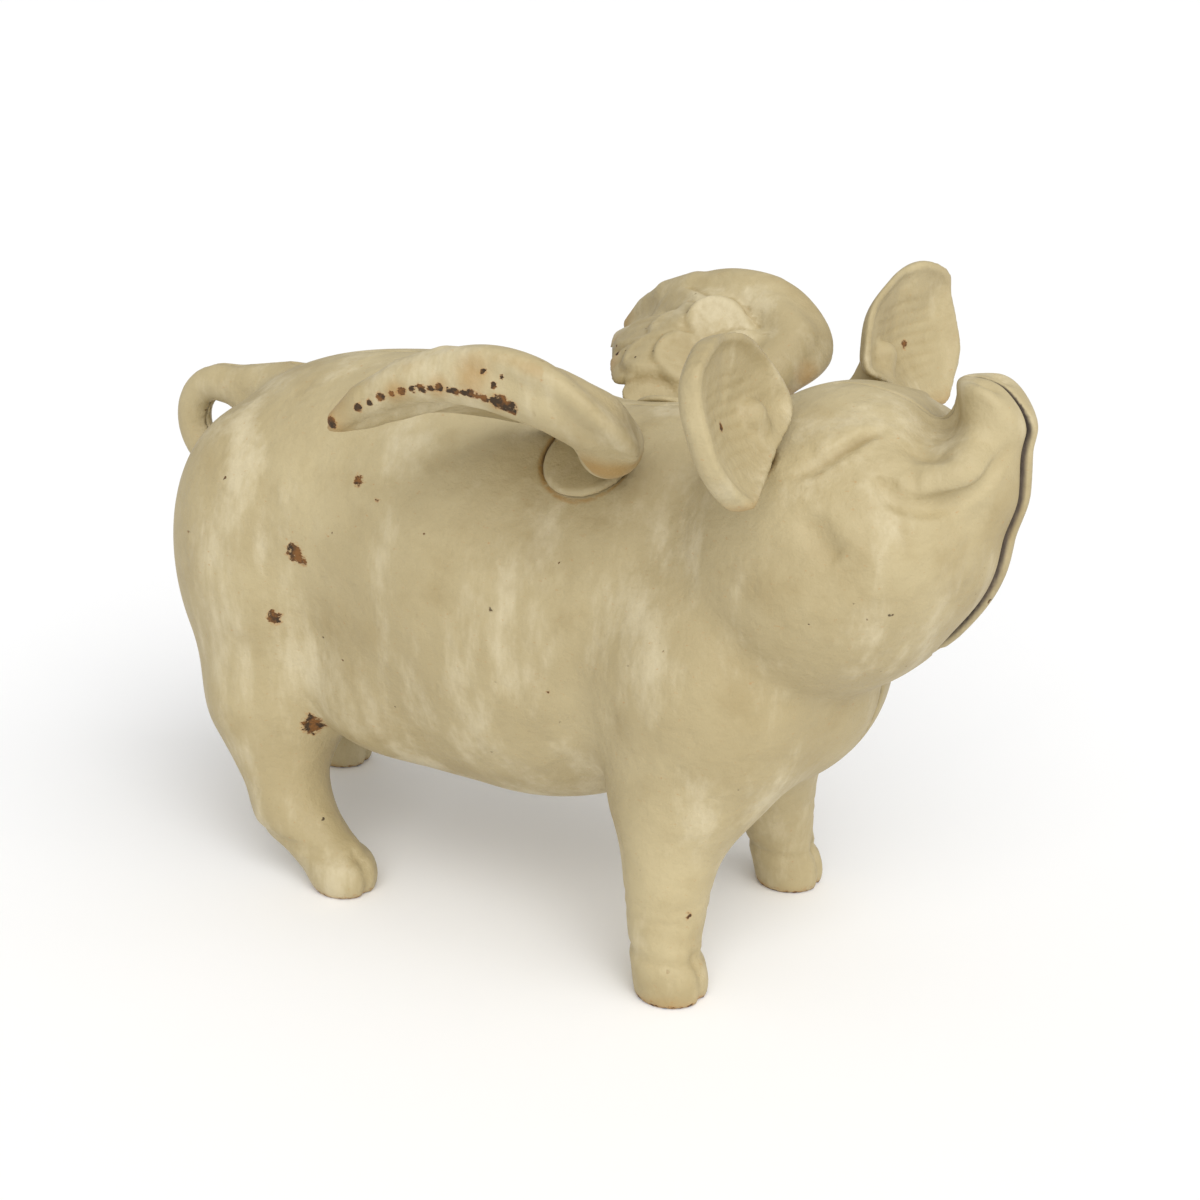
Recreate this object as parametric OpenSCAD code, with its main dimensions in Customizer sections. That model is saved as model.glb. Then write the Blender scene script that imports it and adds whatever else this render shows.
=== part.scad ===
// Cast iron still bank in the form of a standing winged pig with its head thrown back.
// The body is two hollow castings that meet on the mid-plane and are held by one long cross screw.
// Wings and ears are separate castings, each with a spigot in a seat and a screw from inside.
// X points to the nose, Y to the animal's left, Z up. The origin is under the middle, on the floor.

/* [Body castings] */
// wall of the two hollow halves
wall = 4.5; // [3.8:0.1:5.5]
// height below which the legs are solid
leg_solid_z = 40; // [36:2:44]
// how far the left hind leg stands behind the right one
hind_step = 54; // [40:1:56]
// facet size of the hollow
core_cell = 7.5; // [7.5:0.5:8]

/* [Coin slot] */
// length of the slot along the back
slot_length = 38; // [28:1:42]
// width of the slot across the parting line
slot_width = 5; // [4.4:0.1:6]
// middle of the slot along the back
slot_x = -6; // [-12:1:0]

/* [Tail] */
// radius of the curl's centre line
tail_ring_r = 11.8; // [11:0.2:13]
// radius of the tail itself
tail_r = 4.8; // [3.8:0.2:5.2]

/* [Wings] */
// thickness of the feathered blade
wing_blade = 4.4; // [3.6:0.2:6]
// extra half thickness of the rolled leading edge
wing_roll = 4; // [2:0.5:5]
// radius of the round root boss
wing_boss_r = 10; // [8:0.5:11]
// radius of the spigot behind the boss
wing_spigot_r = 4.5; // [4:0.1:5.5]

/* [Ears] */
// thickness of the ear shell
ear_blade = 4.5; // [3.6:0.1:5.5]
// depth of the ear's cup
ear_cup = 7; // [5:0.5:9]
// radius of the lug that carries the ear
ear_lug_r = 5.5; // [5:0.1:6.5]
// radius of the spigot behind the lug
ear_spigot_r = 3.5; // [3.2:0.1:4]

/* [Screws] */
// radius of the cross screw
screw_r = 2.5; // [2:0.1:2.8]
// radius of the cross screw's head
screw_head_r = 4.6; // [4.2:0.1:5.2]
// height of the cross screw above the floor
screw_z = 88; // [80:1:94]
// distance the cross screw reaches past the parting line
screw_reach = 30; // [22:1:34]
// radial clearance of spigots, pegs and screws in their holes
fit_gap = 0.05; // [0.03:0.01:0.08]

/* [Hidden] */
// facet size of the outer skin
skin_cell = 6;
// moves the design so that the middle of its length stands over the origin
x_shift = 6.2;

paint = [0.80, 0.76, 0.62];
steel = [0.62, 0.62, 0.60];

// ---- smooth solid field: negative inside ----
function smin(a, b, k) =
    let (h = max(k - abs(a - b), 0) / k)
    min(a, b) - h * h * k / 4;

function smax(a, b, k) = -smin(-a, -b, k);

function over(p, r) = [p.x / r.x, p.y / r.y, p.z / r.z];

// distance to an ellipsoid with its middle at c and half sizes r
function ell(p, c, r) =
    let (q = over(p - c, r), k0 = norm(q), k1 = norm(over(q, r)))
    k1 < 1e-6 ? -min(r) : k0 * (k0 - 1) / k1;

// the same, leaning by t degrees about Y
function ell_lean(p, c, r, t) =
    let (d = p - c)
    ell([d.x * cos(t) - d.z * sin(t), d.y, d.x * sin(t) + d.z * cos(t)], [0, 0, 0], r);

// distance to a round-ended cone from a to b
function limb(p, a, b, ra, rb) =
    let (ba = b - a, l2 = ba * ba, rr = ra - rb, a2 = l2 - rr * rr,
         pa = p - a, y = pa * ba, z = y - l2,
         xv = pa * l2 - ba * y, x2 = xv * xv, y2 = y * y * l2, z2 = z * z * l2,
         k = sign(rr) * rr * rr * x2)
    sign(z) * a2 * z2 > k ? sqrt(x2 + z2) / l2 - rb
    : sign(y) * a2 * y2 < k ? sqrt(x2 + y2) / l2 - ra
    : (sqrt(x2 * a2 / l2) + y * rr) / l2 - ra;

// hind leg, set back by s
function hind_leg(p, s) =
    smin(smin(smin(ell_lean(p, [-79 - s / 4, 20, 84], [32, 25, 46], -10),
                   limb(p, [-80 - s * 0.35, 27, 48], [-72 - s * 0.6, 31, 21], 17, 9.5), 14),
              limb(p, [-72 - s * 0.6, 31, 20], [-56 - s, 33, 7], 9.5, 8), 6),
         ell(p, [-52 - s, 33.5, 4.5], [9, 8.5, 9]), 4);

// front leg and shoulder
function front_leg(p) =
    smin(smin(ell(p, [51, 19, 80], [30, 26, 38]),
              limb(p, [47, 27, 46], [48.5, 33, 13], 13.5, 8.8), 16),
         ell(p, [51, 34, 3.5], [9.5, 9, 10]), 5);

// trunk without legs or head
function trunk(p) =
    smin(smin(smin(smin(smin(smin(ell(p, [-8, 0, 84], [61, 45, 54]),
                                  ell(p, [-38, 0, 74], [40, 38, 43]), 10),
                             ell(p, [-46, 20, 60], [22, 18, 19]), 10),
                        ell(p, [-37, 0, 105], [57, 40, 40]), 14),
                   ell(p, [-71, 0, 98], [42, 40, 40]), 14),
              ell(p, [38, 0, 96], [40, 38, 44]), 16),
         ell(p, [51, 0, 81], [38, 36, 36]), 12);

// skull, throat and cheeks
function skull(p) =
    smin(smin(smin(ell(p, [79, 0, 116], [34, 38, 34.5]),
                   ell(p, [72, 12, 109], [33, 28, 31]), 8),
              limb(p, [96.5, 0, 118], [105.5, 0, 130], 18.5, 12.3), 8),
         ell(p, [92, 16, 121], [17, 17, 18]), 8);

// short barrel whose flat end looks up
function snout(p) =
    smax(smin(limb(p, [106.5, 0, 131], [110.6, 0, 146], 12, 8.8),
              limb(p, [110.6, 0, 146], [110.6, 0, 160], 8.8, 8.4), 2),
         p.z - 155.3 + pow(max(p.x - 108, 0), 2) * 0.065, 2.5);

// head with upper lip and snout
function head(p) = smin(smin(skull(p), ell(p, [107, 10, 137], [8.5, 9, 8]), 5), snout(p), 4.5);

// k is the softness of the creases between trunk, legs and head
function pig(q, s, k, core) =
    let (p = [q.x, abs(q.y), q.z])
    smin(smin(smin(trunk(p), hind_leg(p, s), k), front_leg(p), k), core ? skull(p) : head(p), k);

// the hollow: the same shape drawn in by the wall with softer creases, legs and snout left solid
function hollow(q, s) = smax(pig(q, s, 14, true) + wall + 0.5, leg_solid_z - q.z, 10);

function field(p, s, core) = core ? hollow(p, s) : pig(p, s, 8, false);

// ---- skin of one half, from a grid of cells whose last layer straddles the mid-plane ----
EDGES = [[0, 1], [2, 3], [4, 5], [6, 7], [0, 2], [1, 3], [4, 6], [5, 7], [0, 4], [1, 5], [2, 6], [3, 7]];
low = [-142, 0, -7];
high = [130, 58, 170];

function total(v, i = 0) = i == len(v) - 1 ? v[i] : v[i] + total(v, i + 1);

function on_skin(p, s, core) =
    let (e = 0.4, f = field(p, s, core),
         g = [field(p + [e, 0, 0], s, core) - f,
              p.y == 0 ? 0 : field(p - [0, e, 0], s, core) - f,
              field(p + [0, 0, e], s, core) - f] / e,
         n = [g.x, -g.y, g.z], l = max(norm(n), 0.3))
    p - n * f / l / l;

// returns [points, faces, ring of point numbers on the mid-plane]; the half lies at negative Y
function skin(h, s, core) =
    let (nx = ceil((high.x - low.x) / h), ny = ceil(high.y / h), nz = ceil((high.z - low.z) / h),
         at = function (i, j, k) [low.x + i * h, (j - ny + 0.5) * h, low.z + k * h],
         f = [for (i = [0:nx]) [for (j = [0:ny - 1]) [for (k = [0:nz]) field(at(i, j, k), s, core)]]],
         v = function (i, j, k) f[i][min(j, ny - 1)][k],
         corners = function (i, j, k)
             [v(i, j, k), v(i + 1, j, k), v(i, j + 1, k), v(i + 1, j + 1, k),
              v(i, j, k + 1), v(i + 1, j, k + 1), v(i, j + 1, k + 1), v(i + 1, j + 1, k + 1)],
         used = [for (i = [0:nx - 1]) for (j = [0:ny - 1]) for (k = [0:nz - 1])
                 let (c = corners(i, j, k)) min(c) < 0 && max(c) >= 0 ? 1 : 0],
         num = [for (n = 0, c = 0; n < len(used); c = c + used[n], n = n + 1) used[n] == 1 ? c : -1],
         id = function (i, j, k) num[(i * ny + j) * nz + k],
         pts = [for (i = [0:nx - 1]) for (j = [0:ny - 1]) for (k = [0:nz - 1])
                if (id(i, j, k) >= 0)
                let (c = corners(i, j, k),
                     cuts = [for (e = EDGES)
                             let (a = e[0], b = e[1])
                             if ((c[a] < 0) != (c[b] < 0))
                             let (t = c[a] / (c[a] - c[b]),
                                  pa = at(i + a % 2, j + floor(a / 2) % 2, k + floor(a / 4)),
                                  pb = at(i + b % 2, j + floor(b / 2) % 2, k + floor(b / 4)))
                             pa + (pb - pa) * t],
                     m = total(cuts) / len(cuts))
                on_skin(j == ny - 1 ? [m.x, 0, m.z] : m, s, core)],
         turn = function (q, flip) flip ? [q[3], q[2], q[1], q[0]] : q,
         across_x = [for (i = [0:nx - 1]) for (j = [1:ny - 1]) for (k = [1:nz - 1])
                     if ((f[i][j][k] < 0) != (f[i + 1][j][k] < 0))
                     turn([id(i, j - 1, k - 1), id(i, j, k - 1), id(i, j, k), id(i, j - 1, k)], f[i][j][k] < 0)],
         across_y = [for (i = [1:nx - 1]) for (j = [0:ny - 2]) for (k = [1:nz - 1])
                     if ((f[i][j][k] < 0) != (f[i][j + 1][k] < 0))
                     turn([id(i - 1, j, k - 1), id(i - 1, j, k), id(i, j, k), id(i, j, k - 1)], f[i][j][k] < 0)],
         across_z = [for (i = [1:nx - 1]) for (j = [1:ny - 1]) for (k = [0:nz - 1])
                     if ((f[i][j][k] < 0) != (f[i][j][k + 1] < 0))
                     turn([id(i - 1, j - 1, k), id(i, j - 1, k), id(i, j, k), id(i - 1, j, k)], f[i][j][k] < 0)],
         last = ny - 1,
         rim = concat(
             [for (i = [0:nx - 1]) for (k = [1:nz - 1])
              if ((f[i][last][k] < 0) != (f[i + 1][last][k] < 0))
              f[i][last][k] < 0 ? [id(i, last, k - 1), id(i, last, k)] : [id(i, last, k), id(i, last, k - 1)]],
             [for (i = [1:nx - 1]) for (k = [0:nz - 1])
              if ((f[i][last][k] < 0) != (f[i][last][k + 1] < 0))
              f[i][last][k] < 0 ? [id(i, last, k), id(i - 1, last, k)] : [id(i - 1, last, k), id(i, last, k)]]),
         ring = [for (n = 0, p = rim[0][0]; n < len(rim); p = rim[search(p, rim)[0]][1], n = n + 1) p])
    [pts, concat(across_x, across_y, across_z), ring];

function turned(v, n) = [for (i = [0:len(v) - 1]) v[(i + n) % len(v)]];

function nearest(p, ring, pts) =
    let (d = [for (i = ring) norm(pts[i] - p)])
    search(min(d), d)[0];

// the flat rim between the outer ring and the inner ring, always closing the shorter gap
function rim_faces(a, b, pa, pb, shift) =
    [for (i = 0, j = 0, go_a = 0, n = 0;
          n <= len(a) + len(b);
          go_a = j >= len(b) || (i < len(a)
                 && norm(pa[a[(i + 1) % len(a)]] - pb[b[j % len(b)]])
                    < norm(pa[a[i % len(a)]] - pb[b[(j + 1) % len(b)]])) ? 1 : 2,
          i = i + (go_a == 1 ? 1 : 0), j = j + (go_a == 2 ? 1 : 0), n = n + 1)
     if (go_a != 0)
     go_a == 1 ? [a[i - 1], a[i % len(a)], b[j % len(b)] + shift]
               : [a[i % len(a)], b[j % len(b)] + shift, b[j - 1] + shift]];

// triangles of a face of four
function split(q) = [[q[0], q[1], q[2]], [q[0], q[2], q[3]]];

// hollow half without fittings, on the given side of the mid-plane (-1 right, 1 left)
module shell(s, side) {
    outer = skin(skin_cell, s, false);
    inner = skin(core_cell, s, true);
    shift = len(outer[0]);
    a = outer[2];
    b = turned(inner[2], nearest(outer[0][a[0]], inner[2], inner[0]));
    skin_faces = [for (q = outer[1]) each split(q)];
    core_faces = [for (q = inner[1]) each split([q[3] + shift, q[2] + shift, q[1] + shift, q[0] + shift])];
    faces = concat(skin_faces, core_faces, rim_faces(a, b, outer[0], inner[0], shift));
    polyhedron([for (p = concat(outer[0], inner[0])) [p.x, -side * p.y, p.z]],
               side < 0 ? faces : [for (t = faces) [t[2], t[1], t[0]]], convexity = 10);
}

// ---- placing ----
// the same point or direction on the right (-1) or the left (1)
function on(p, side) = [p.x, p.y * side, p.z];

// draws its children with Z along d, starting at p
module along(p, d) {
    translate(p) rotate([0, acos(d.z / norm(d)), atan2(d.y, d.x)]) children();
}

// ---- seats of the wings and ears, given for the left side ----
wing_seat = [20.6, 21.4, 129.9];
wing_dir = [-0.05, 0.6, 0.8];
ear_seat = [66, 29, 136.4];
ear_dir = [-0.1, 0.66, 0.74];
seat_wall = 5;
washer_t = 1;
small_head_t = 2.4;

// ---- cross screw ----
screw_x = 4;
flank_y = 42.6;
closing_washer_t = 1.2;

// ---- locating pegs beside the rim ----
PEGS = [[-106.5, 94], [59.5, 52.5], [106.8, 107.6]];
peg_r = 2.4;
peg_boss_r = 5;

// the half of the tail's curl on one side, cut where it sinks into the rump
module tail(side) {
    intersection() {
        union() {
            translate([-115.3, 0, 116.6]) rotate([90, 0, 0]) rotate_extrude($fn = 64)
                translate([tail_ring_r, 0]) circle(r = tail_r, $fn = 32);
            along([-114, 0, 128.2], [22, 0, 2.6]) cylinder(r1 = tail_r, r2 = tail_r + 1, h = 24, $fn = 32);
        }
        translate([-140, side < 0 ? -10.02 : 0.02, 90]) cube([46, 10, 50]);
    }
}

// pads inside the wall behind a seat
module seat_pad(p, d, side, r) {
    along(on(p, side), -on(d, side)) translate([0, 0, 2]) cylinder(r = r, h = seat_wall - 2, $fn = 48);
}

// spot-faced seat with its bore
module seat_cut(p, d, side, r, bore) {
    along(on(p, side), on(d, side)) {
        cylinder(r = r, h = 16, $fn = 64);
        translate([0, 0, -seat_wall - 6]) cylinder(r = bore, h = seat_wall + 8, $fn = 48);
    }
}

// room behind a seat pad for the washer and the screw's head
module seat_room(p, d, side, r) {
    along(on(p, side), -on(d, side)) translate([0, 0, seat_wall]) cylinder(r = r, h = 9, $fn = 48);
}

module half(side, s) {
    difference() {
        union() {
            shell(s, side);
            tail(side);
            seat_pad(wing_seat, wing_dir, side, 8);
            seat_pad(ear_seat, ear_dir, side, 6.5);
            for (g = PEGS)
                translate([g.x, side * 0.2, g.y]) rotate([-90 * side, 0, 0])
                    cylinder(r = peg_boss_r, h = 13, $fn = 48);
            translate([screw_x, side * 0.4, screw_z]) rotate([-90 * side, 0, 0])
                cylinder(r = 7, h = side < 0 ? 41 : 41.5, $fn = 64);
            children();
        }
        // the soles stand on the floor
        translate([-140, -70, -20]) cube([280, 140, 20]);
        seat_cut(wing_seat, wing_dir, side, wing_boss_r + 0.4, wing_spigot_r + fit_gap);
        seat_cut(ear_seat, ear_dir, side, ear_lug_r + 0.4, ear_spigot_r + fit_gap);
        seat_room(wing_seat, wing_dir, side, 6.5);
        seat_room(ear_seat, ear_dir, side, 5);
        // half of the coin slot
        translate([slot_x - slot_length / 2, -slot_width / 2, 118]) cube([slot_length, slot_width, 50]);
    }
}

// ---- sub-parts ----
module right_half() {
    color(paint) translate([x_shift, 0, 0]) difference() {
        half(-1, 0)
            for (g = PEGS) translate([g.x, -1, g.y]) rotate([-90, 0, 0])
                cylinder(r = peg_r, h = 6, $fn = 48);
        // blind threaded bore
        translate([screw_x, 1, screw_z]) rotate([90, 0, 0])
            cylinder(r = screw_r + fit_gap, h = screw_reach + 4, $fn = 48);
    }
}

module left_half() {
    color(paint) translate([x_shift, 0, 0]) difference() {
        half(1, hind_step);
        for (g = PEGS) translate([g.x, -1, g.y]) rotate([-90, 0, 0])
            cylinder(r = peg_r + fit_gap, h = 7.5, $fn = 48);
        translate([screw_x, -1, screw_z]) rotate([-90, 0, 0]) cylinder(r = screw_r + 0.2, h = 60, $fn = 48);
        translate([screw_x, flank_y, screw_z]) rotate([-90, 0, 0]) cylinder(r = 7.4, h = 20, $fn = 64);
    }
}

// ---- wings and ears: domed leaves drawn inside a closed outline ----
function catmull(v, t) =
    let (n = len(v), i = floor(t), f = t - i,
         a = v[(i + n - 1) % n], b = v[i % n], c = v[(i + 1) % n], d = v[(i + 2) % n])
    (2 * b + (c - a) * f + (2 * a - 5 * b + 4 * c - d) * f * f + (3 * b - a - 3 * c + d) * f * f * f) / 2;

module leaf(edge, middle, axis, dome, thick, rolls, roll, rings, steps, side) {
    dir = axis / norm(axis);
    turns = [for (j = [0:steps - 1]) j * len(edge) / steps];
    border = [for (t = turns) catmull(edge, t)];
    lead = [for (t = turns) catmull(rolls, t)];
    radii = [for (i = [1:rings]) sin(90 * i / rings)];
    half_t = function (r, j) (thick / 2 + roll * lead[j] * pow(r, 3)) * sqrt(max(1 - pow(r, 6), 0));
    face = function (up) [for (r = radii) for (j = [0:steps - 1])
        on(middle + (border[j] - middle) * r + dir * (dome * (1 - r * r) + up * half_t(r, j)), side)];
    tip = function (up) on(middle + dir * (dome + up * thick / 2), side);
    count = rings * steps - steps;
    // both faces share the outermost ring
    top = [for (n = [0:rings * steps - 1]) face(1)[n]];
    bottom = [for (n = [0:count - 1]) face(-1)[n]];
    at_top = function (i, j) i * steps + j % steps;
    at_bottom = function (i, j) i == rings - 1 ? at_top(i, j) : rings * steps + i * steps + j % steps;
    mid_top = rings * steps + count;
    faces = [for (j = [0:steps - 1]) each concat(
        [[mid_top, at_top(0, j), at_top(0, j + 1)], [mid_top + 1, at_bottom(0, j + 1), at_bottom(0, j)]],
        [for (i = [0:rings - 2]) each concat(
            split([at_top(i, j), at_top(i + 1, j), at_top(i + 1, j + 1), at_top(i, j + 1)]),
            split([at_bottom(i, j + 1), at_bottom(i + 1, j + 1), at_bottom(i + 1, j), at_bottom(i, j)]))])];
    polyhedron(concat(top, bottom, [tip(1), tip(-1)]),
               side < 0 ? faces : [for (t = faces) [t[2], t[1], t[0]]], convexity = 6);
}

// outline of the left wing, from the front around the top to the tip and back along the feathers
WING = [[48, 45, 141], [45, 55, 151], [33, 60, 159.5], [17, 62, 161.5], [0, 64, 157.5], [-14, 66, 149.5],
        [-23, 67, 141], [-17, 54, 140], [-10, 39, 140.5], [-2, 27, 139.5], [7, 19.5, 137], [20, 23.5, 134],
        [32, 31, 133], [42, 38, 136]];
WING_ROLL = [1, 1, 1, 0.95, 0.8, 0.55, 0.25, 0.1, 0, 0, 0, 0, 0.3, 0.8];

// outline of the left ear, a cup open to the front: from the top down the inner side, along the
// low edge beside the skull to the tip, and up the outer side
EAR = [[69, 49, 169.3], [69.3, 40, 167.8], [68.7, 30, 162.5], [71, 24.5, 155.5], [73.8, 22.5, 150],
       [74.3, 27.5, 146], [75.5, 36, 141], [77.5, 46, 136.5], [79.8, 55, 135], [79, 62, 139.5],
       [78, 68, 146], [76, 69.5, 153], [74, 69.5, 160], [73.4, 68, 166], [71.5, 58, 169.8]];
EAR_ROLL = [for (p = EAR) 0.3];

module wing(side) {
    color(paint) translate([x_shift, 0, 0]) difference() {
        union() {
            leaf(WING, [14, 43, 150], [-0.1, -0.5, 0.85], 3, wing_blade, WING_ROLL, wing_roll, 9, 42, side);
            along(on(wing_seat, side), on(wing_dir, side)) {
                translate([0, 0, 0.02]) cylinder(r = wing_boss_r, h = 8.5, $fn = 64);
                translate([0, 0, 0.4 - seat_wall]) cylinder(r = wing_spigot_r, h = seat_wall, $fn = 48);
            }
        }
        along(on(wing_seat, side), on(wing_dir, side)) translate([0, 0, -seat_wall - 1])
            cylinder(r = 2.05, h = 13, $fn = 36);
    }
}

module ear(side) {
    color(paint) translate([x_shift, 0, 0]) difference() {
        union() {
            leaf(EAR, [73, 46, 152], [0.96, 0, 0.27], -ear_cup, ear_blade, EAR_ROLL, 1, 7, 45, side);
            along(on(ear_seat, side), on(ear_dir, side)) {
                translate([0, 0, 0.02]) cylinder(r = ear_lug_r, h = 14, $fn = 48);
                translate([0, 0, 13.9]) cylinder(r1 = ear_lug_r - 0.1, r2 = ear_lug_r - 2, h = 5, $fn = 48);
                translate([0, 0, 0.4 - seat_wall]) cylinder(r = ear_spigot_r, h = seat_wall, $fn = 48);
            }
        }
        along(on(ear_seat, side), on(ear_dir, side)) translate([0, 0, -seat_wall - 1])
            cylinder(r = 1.8, h = 13, $fn = 36);
    }
}

module right_wing() wing(-1);
module left_wing() wing(1);
module right_ear() ear(-1);
module left_ear() ear(1);

// ---- hardware ----
module washer(outer, inner, t) {
    difference() {
        cylinder(r = outer, h = t, $fn = 48);
        translate([0, 0, -1]) cylinder(r = inner, h = t + 2, $fn = 48);
    }
}

// round-head screw with its seat at zero, shank up, head down
module round_screw(r, length, head_r, head_t) {
    difference() {
        union() {
            cylinder(r = r, h = length - r * 0.4, $fn = 48);
            translate([0, 0, length - r * 0.4 - 0.01])
                cylinder(r1 = r, r2 = r * 0.7, h = r * 0.4, $fn = 48);
            rotate_extrude($fn = 48) polygon(concat([[0, 0.01]],
                [for (a = [0:10:90]) [head_r * cos(a), a == 0 ? 0.01 : -head_t * 0.3 - head_t * 0.7 * sin(a)]]));
        }
        translate([-head_r - 1, -r * 0.28, -head_t - 1]) cube([2 * head_r + 2, r * 0.56, 1 + head_t * 0.5]);
    }
}

module seat_washer(p, d, side, outer, inner) {
    color(steel) translate([x_shift, 0, 0])
        along(on(p, side) - on(d, side) * (seat_wall + 0.02 + washer_t), on(d, side)) washer(outer, inner, washer_t);
}

module seat_screw(p, d, side, r, length, head_r) {
    color(steel) translate([x_shift, 0, 0])
        along(on(p, side) - on(d, side) * (seat_wall + 0.04 + washer_t), on(d, side))
            round_screw(r, length, head_r, small_head_t);
}

module right_wing_washer() seat_washer(wing_seat, wing_dir, -1, 6, 2.2);
module left_wing_washer() seat_washer(wing_seat, wing_dir, 1, 6, 2.2);
module right_wing_screw() seat_screw(wing_seat, wing_dir, -1, 2, 12, 4);
module left_wing_screw() seat_screw(wing_seat, wing_dir, 1, 2, 12, 4);
module right_ear_washer() seat_washer(ear_seat, ear_dir, -1, 4.6, 1.95);
module left_ear_washer() seat_washer(ear_seat, ear_dir, 1, 4.6, 1.95);
module right_ear_screw() seat_screw(ear_seat, ear_dir, -1, 1.75, 12, 3.5);
module left_ear_screw() seat_screw(ear_seat, ear_dir, 1, 1.75, 12, 3.5);

module closing_washer() {
    color(steel) translate([x_shift + screw_x, flank_y + 0.02, screw_z]) rotate([-90, 0, 0])
        washer(6.4, screw_r + 0.2, closing_washer_t);
}

module closing_screw() {
    color(steel) translate([x_shift + screw_x, flank_y + 0.04 + closing_washer_t, screw_z]) rotate([90, 0, 0])
        round_screw(screw_r, flank_y + closing_washer_t + screw_reach, screw_head_r, 3.2);
}

right_half();
left_half();
right_wing();
left_wing();
right_ear();
left_ear();
right_wing_washer();
left_wing_washer();
right_wing_screw();
left_wing_screw();
right_ear_washer();
left_ear_washer();
right_ear_screw();
left_ear_screw();
closing_washer();
closing_screw();
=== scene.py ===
"""Cast iron still bank in the form of a standing winged pig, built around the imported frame.

The shapes are worked out in millimetres in the design's own coordinates (X to the nose, Y to the animal's
left, Z up, the floor at zero) and moved by SHIFT along X into the frame. Left and right are mirrored.
"""
import math

import bpy
import bmesh
import numpy as np
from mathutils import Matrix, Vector
from mathutils.kdtree import KDTree


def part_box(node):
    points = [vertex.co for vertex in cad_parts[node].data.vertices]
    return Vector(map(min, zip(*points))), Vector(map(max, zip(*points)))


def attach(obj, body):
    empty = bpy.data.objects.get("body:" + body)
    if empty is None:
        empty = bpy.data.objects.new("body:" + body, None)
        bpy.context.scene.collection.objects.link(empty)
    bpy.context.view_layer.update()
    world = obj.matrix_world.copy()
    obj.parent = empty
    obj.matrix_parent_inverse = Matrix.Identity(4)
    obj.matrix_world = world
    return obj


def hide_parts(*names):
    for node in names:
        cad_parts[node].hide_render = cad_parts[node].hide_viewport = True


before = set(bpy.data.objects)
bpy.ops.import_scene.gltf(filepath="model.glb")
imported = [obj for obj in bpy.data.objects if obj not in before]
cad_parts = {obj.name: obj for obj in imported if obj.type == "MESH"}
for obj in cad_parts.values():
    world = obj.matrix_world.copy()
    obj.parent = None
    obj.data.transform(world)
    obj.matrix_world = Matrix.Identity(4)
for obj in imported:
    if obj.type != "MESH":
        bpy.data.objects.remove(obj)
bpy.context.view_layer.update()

MM = 0.001
SCREW_X = 4.0        # the closing screw's place in the design's own coordinates
screw_low, screw_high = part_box("closing_screw")
SHIFT = (screw_low[0] + screw_high[0]) / 2 / MM - SCREW_X
SCREW_Z = (screw_low[2] + screw_high[2]) / 2 / MM
FLANK_Y = 42.6       # floor of the screw head's recess in the left flank
HIND_STEP = 54.0     # how much further back the left hind leg stands than the right one
CELL = 1.25          # cell size of the halves' meshes
BEND_REACH = 1.6     # how far round a point its hollow or crest is measured

WALL = 5.0           # nominal wall of the halves
SKIN_MIN = 2.4       # what is left of it under deep creases
LEG_SOLID_Z = 40.0   # the legs are solid below this height
TAIL_X, TAIL_Z, TAIL_R, TAIL_THICK = -115.3, 116.6, 11.8, 4.8

WING_SEAT, WING_DIR = (20.6, 21.4, 129.9), (-0.05, 0.6, 0.8)
EAR_SEAT, EAR_DIR = (66, 29, 136.4), (-0.1, 0.66, 0.74)
DISC_R = 12.2        # the wing's root disc
PEGS = [(-106.5, 94), (59.5, 52.5), (106.8, 107.6)]
PEG_R, PEG_HOLE_R, PEG_PAD_R = 2.4, 2.7, 5
SLOT_X, SLOT_L, SLOT_W, SLOT_Z = -6.0, 38.0, 5.0, 118
# radii: pad inside the wall, bore for the spigot, recess for the washer
WING_PAD_R, WING_BORE_R, WING_RECESS_R = 8, 4.8, 6.6
EAR_PAD_R, EAR_BORE_R, EAR_RECESS_R, EAR_FACE_R = 6.5, 3.8, 5.1, 6.0
# radii at the closing screw: sleeve, blind bore on the right, clearance hole and head recess on the left
SLEEVE_R, SCREW_BORE_R, SCREW_HOLE_R, HEAD_RECESS_R = 7, 2.7, 2.9, 7.4
SEAM_OPEN, SEAM_SHUT = 0.32, 0.10


# ---- smooth solid fields in millimetres: negative inside. A point is a tuple of arrays (x, y, z) ----
def smin(a, b, k):
    h = np.maximum(k - np.abs(a - b), 0) / k
    return np.minimum(a, b) - h * h * k / 4


def smax(a, b, k):
    return -smin(-a, -b, k)


def length(v):
    return np.sqrt(v[0] ** 2 + v[1] ** 2 + v[2] ** 2)


def ell(p, c, r, lean=0):
    """Ellipsoid with middle c and half sizes r, leaning by that many degrees about Y."""
    d = [p[i] - c[i] for i in range(3)]
    if lean:
        cs, sn = math.cos(math.radians(lean)), math.sin(math.radians(lean))
        d = [d[0] * cs - d[2] * sn, d[1], d[0] * sn + d[2] * cs]
    q = [d[i] / r[i] for i in range(3)]
    k0 = length(q)
    k1 = np.maximum(length([q[i] / r[i] for i in range(3)]), 1e-9)
    return k0 * (k0 - 1) / k1


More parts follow.
